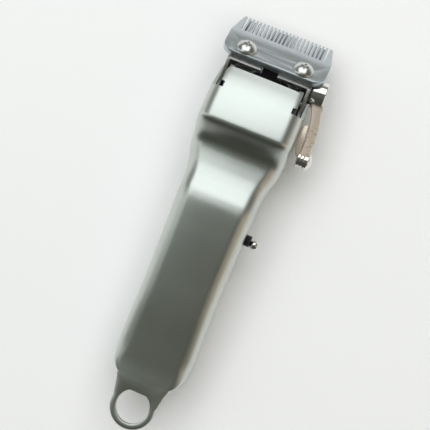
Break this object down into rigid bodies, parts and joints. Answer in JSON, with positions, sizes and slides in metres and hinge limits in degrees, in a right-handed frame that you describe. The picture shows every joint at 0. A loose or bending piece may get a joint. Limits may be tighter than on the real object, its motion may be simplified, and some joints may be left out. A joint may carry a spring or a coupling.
{
  "type": "hair clipper",
  "caption": "Cordless hair clipper with a cast metal casing, hanging loop, toothed blade set, taper lever and toggle switch.",
  "frame": {"origin": "centre of the flat resting face of the top cover, at half the clipper's length", "axes": "+X to the side of the taper lever and the switch, +Y along the length to the blade's teeth, +Z out of the underside, the side with the blade screws"},
  "size_m": [0.054, 0.184, 0.0381],
  "materials": {
    "casing_paint": "satin silver paint",
    "zinc_steel": "bright zinc",
    "cast_alloy": "as cast",
    "spring_steel": "blued",
    "lever_chrome": "polished",
    "toggle_chrome": "polished",
    "screw_chrome": "polished",
    "motor_steel": "plated",
    "ferrite": "sintered",
    "black_plastic": "moulded",
    "bearing_bronze": "sintered",
    "cam_plastic": "moulded",
    "yoke_plastic": "moulded",
    "cell_sleeve": "shrink sleeve",
    "nickel_strip": "bright",
    "board_laminate": "solder resist",
    "lens_plastic": "clear red",
    "socket_plastic": "moulded",
    "switch_plastic": "moulded",
    "blade_steel": "ground",
    "cutter_steel": "ground",
    "bracket_steel": "plated"
  },
  "bodies": {
    "casing": {"bottom_housing": "casing_paint", "top_cover": "casing_paint", "casing_screws": "zinc_steel", "head_frame": "cast_alloy", "frame_screws": "zinc_steel", "motor_can": "motor_steel", "motor_magnets": "ferrite", "motor_end_cap": "black_plastic", "motor_bushes": "bearing_bronze", "motor_screws": "zinc_steel", "cutter_spring": "spring_steel", "battery_cell": "cell_sleeve", "battery_tabs": "nickel_strip", "battery_cradle": "black_plastic", "circuit_board": "board_laminate", "board_screws": "zinc_steel", "indicator_lens": "lens_plastic", "charging_socket": "socket_plastic", "switch_body": "switch_plastic", "switch_nut": "zinc_steel"},
    "lever": {"taper_lever": "lever_chrome", "lever_knob": "lever_chrome", "friction_leaf": "lever_chrome", "lever_screw": "lever_chrome", "lever_shaft": "zinc_steel", "shaft_clip": "spring_steel"},
    "blade_carriage": {"stationary_blade": "blade_steel", "blade_screws": "screw_chrome", "blade_bracket": "bracket_steel"},
    "cutter": {"cutter_blade": "cutter_steel", "drive_yoke": "yoke_plastic"},
    "rotor": {"motor_rotor": "motor_steel", "eccentric_cam": "cam_plastic"},
    "switch_bat": {"switch_toggle": "toggle_chrome"}
  },
  "joints": [
    {"name": "lever_swing", "type": "hinge", "parent": "casing", "child": "lever", "pos_m": [0.02, 0.07, 0.0195], "axis": [-1, 0, 0], "range_deg": [0, 40]},
    {"name": "blade_slide", "type": "slide", "parent": "casing", "child": "blade_carriage", "axis": [0, 0.7986, -0.6018], "range_m": [0, 0.0011]},
    {"name": "cutter_slide", "type": "slide", "parent": "casing", "child": "cutter", "axis": [1, 0, 0], "range_m": [-0.0013, 0.0013]},
    {"name": "rotor_spin", "type": "hinge", "parent": "casing", "child": "rotor", "pos_m": [0, 0.036, 0.0155], "axis": [0, 1, 0], "continuous": true},
    {"name": "switch_flip", "type": "hinge", "parent": "casing", "child": "switch_bat", "pos_m": [0.01658, 0.0008, 0.0206], "axis": [0, 0, 1], "range_deg": [0, 20]}
  ],
  "couplings": [
    {"joint": "blade_slide", "follows": "lever_swing", "m_per_rad": 0.001567}
  ]
}
